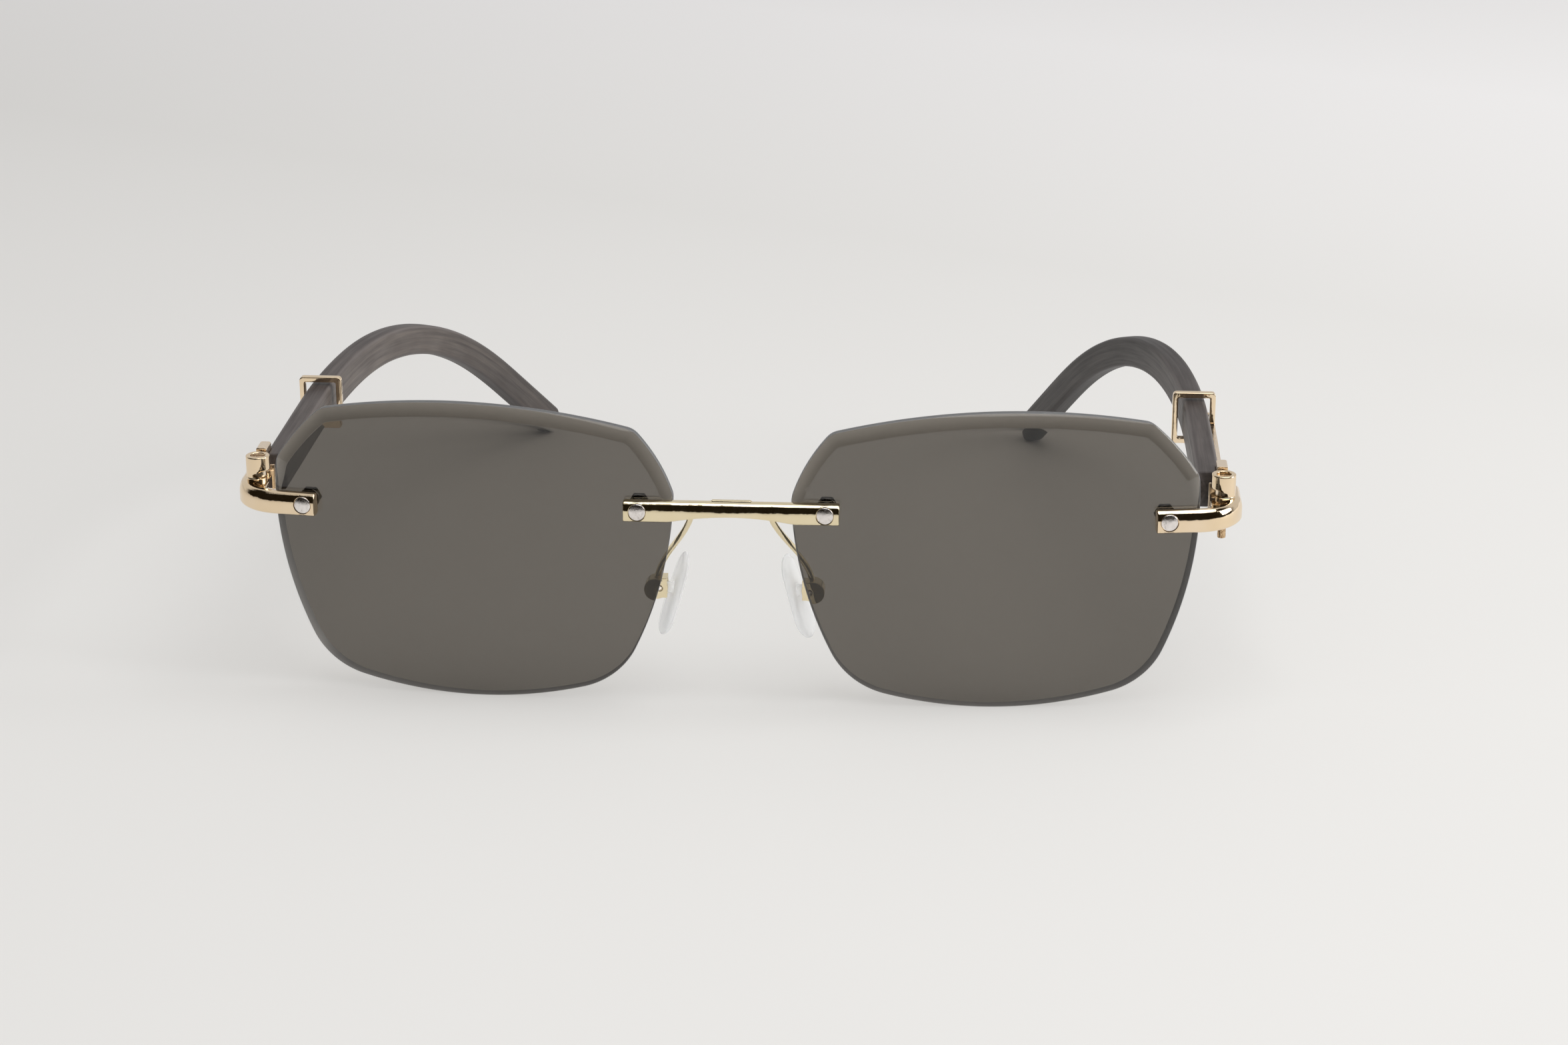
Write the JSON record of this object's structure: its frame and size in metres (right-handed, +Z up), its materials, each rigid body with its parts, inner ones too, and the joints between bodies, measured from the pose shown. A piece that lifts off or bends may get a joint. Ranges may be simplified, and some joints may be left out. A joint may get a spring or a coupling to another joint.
{
  "type": "rimless sunglasses",
  "caption": "Rimless sunglasses with drilled grey-brown lenses, slim gold bridge and screw hinges, clear nose pads, and wooden temples in gold loops that fold inward.",
  "frame": {"origin": "centre of the bounding box in X and Y, on the table that the lenses' lower edges and the temple tips stand on", "axes": "+X to the right seen from the front (the wearer's left), -Y forward out of the lenses, +Z up"},
  "size_m": [0.1454, 0.1264, 0.0447],
  "materials": {
    "gold_plate": "mirror-polished pale gold plating",
    "polished_steel": "polished steel screws, finely brushed heads",
    "tinted_lens": "polished grey-brown tint, a little darker at the top",
    "clear_plastic": "clear polycarbonate",
    "pad_silicone": "clear soft silicone",
    "cap_nut": "dark plated",
    "stained_wood": "dark grey stained, smooth satin, faint brown mottling"
  },
  "bodies": {
    "front": {"bridge": "gold_plate", "lens_left": "tinted_lens", "inner_screw_left": "polished_steel", "outer_screw_left": "polished_steel", "inner_bush_left": "clear_plastic", "outer_bush_left": "clear_plastic", "inner_washer_left": "clear_plastic", "outer_washer_left": "clear_plastic", "inner_nut_left": "cap_nut", "outer_nut_left": "cap_nut", "end_piece_left": "gold_plate", "hinge_screw_left": "polished_steel", "pad_arm_left": "gold_plate", "pad_box_left": "gold_plate", "pad_screw_left": "polished_steel", "lens_right": "tinted_lens", "inner_screw_right": "polished_steel", "outer_screw_right": "polished_steel", "inner_bush_right": "clear_plastic", "outer_bush_right": "clear_plastic", "inner_washer_right": "clear_plastic", "outer_washer_right": "clear_plastic", "inner_nut_right": "cap_nut", "outer_nut_right": "cap_nut", "end_piece_right": "gold_plate", "hinge_screw_right": "polished_steel", "pad_arm_right": "gold_plate", "pad_box_right": "gold_plate", "pad_screw_right": "polished_steel"},
    "temple_left": {"temple_hinge_left": "gold_plate", "temple_screw_left": "polished_steel", "side_bar_left": "gold_plate", "temple_loop_left": "gold_plate", "loop_peg_left": "gold_plate", "temple_wood_left": "stained_wood"},
    "temple_right": {"temple_hinge_right": "gold_plate", "temple_screw_right": "polished_steel", "side_bar_right": "gold_plate", "temple_loop_right": "gold_plate", "loop_peg_right": "gold_plate", "temple_wood_right": "stained_wood"},
    "pad_left": {"nose_pad_left": "pad_silicone"},
    "pad_right": {"nose_pad_right": "pad_silicone"}
  },
  "joints": [
    {"name": "temple_hinge_left", "type": "hinge", "parent": "front", "child": "temple_left", "pos_m": [-0.06991, -0.05227, 0.03128], "axis": [0, 0, 1], "range_deg": [-74, 0]},
    {"name": "temple_hinge_right", "type": "hinge", "parent": "front", "child": "temple_right", "pos_m": [0.06991, -0.05227, 0.03128], "axis": [0, 0, 1], "range_deg": [0, 68]},
    {"name": "pad_rock_left", "type": "hinge", "parent": "front", "child": "pad_left", "pos_m": [-0.0109, -0.05623, 0.0165], "axis": [0, 1, 0], "range_deg": [-6, 6]},
    {"name": "pad_rock_right", "type": "hinge", "parent": "front", "child": "pad_right", "pos_m": [0.0109, -0.05623, 0.0165], "axis": [0, 1, 0], "range_deg": [-6, 6]}
  ]
}
